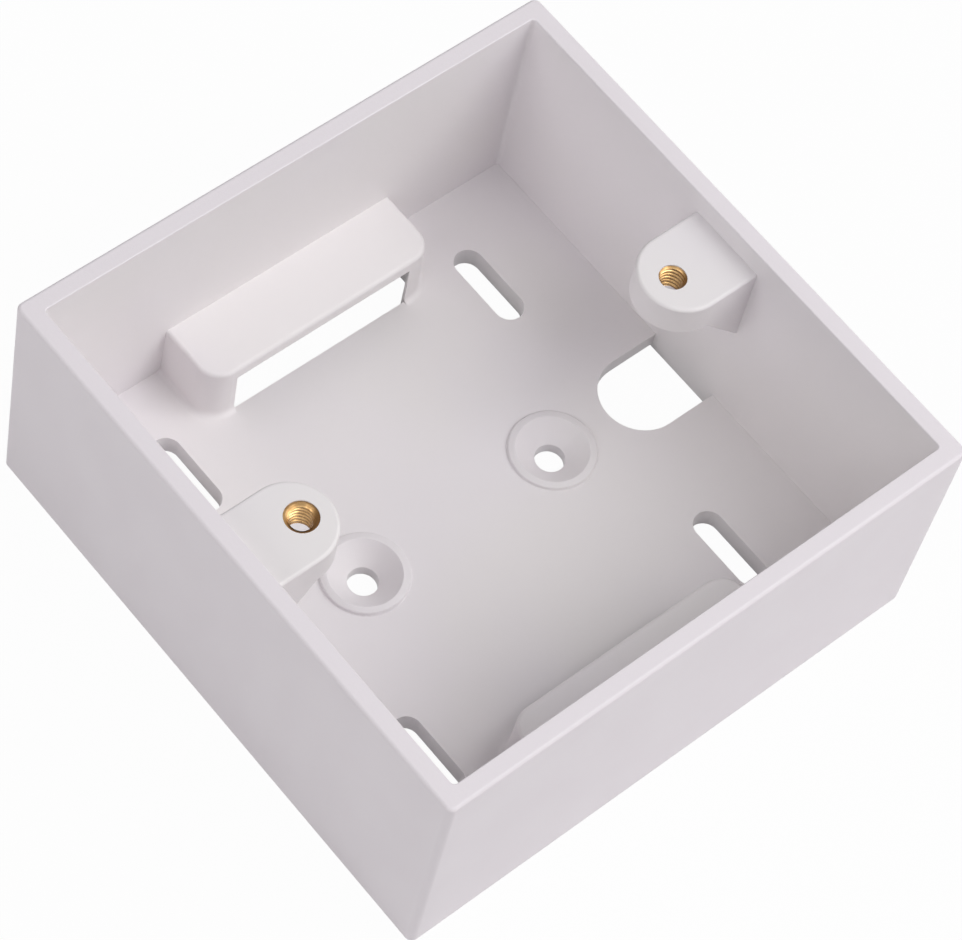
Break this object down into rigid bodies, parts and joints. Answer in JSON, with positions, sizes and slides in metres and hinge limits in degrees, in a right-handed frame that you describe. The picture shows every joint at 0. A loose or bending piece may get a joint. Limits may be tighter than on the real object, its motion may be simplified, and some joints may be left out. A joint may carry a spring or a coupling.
{
  "type": "surface mount jack box",
  "caption": "Open square back box for a jack plate, with screw bosses, cable-entry hoods, countersunk screw holes and mounting slots.",
  "frame": {"origin": "centre of the box's outline at its back, which lies on the surface", "axes": "+Z out of the open side, X through the two screw bosses, Y through the two cable-entry hoods"},
  "size_m": [0.084, 0.084, 0.0374],
  "materials": {
    "shell_plastic": "fine satin moulded ABS",
    "insert_brass": "turned and knurled brass"
  },
  "bodies": {
    "root": {"back_box_shell": "shell_plastic", "left_screw_insert": "insert_brass", "right_screw_insert": "insert_brass"}
  },
  "joints": []
}
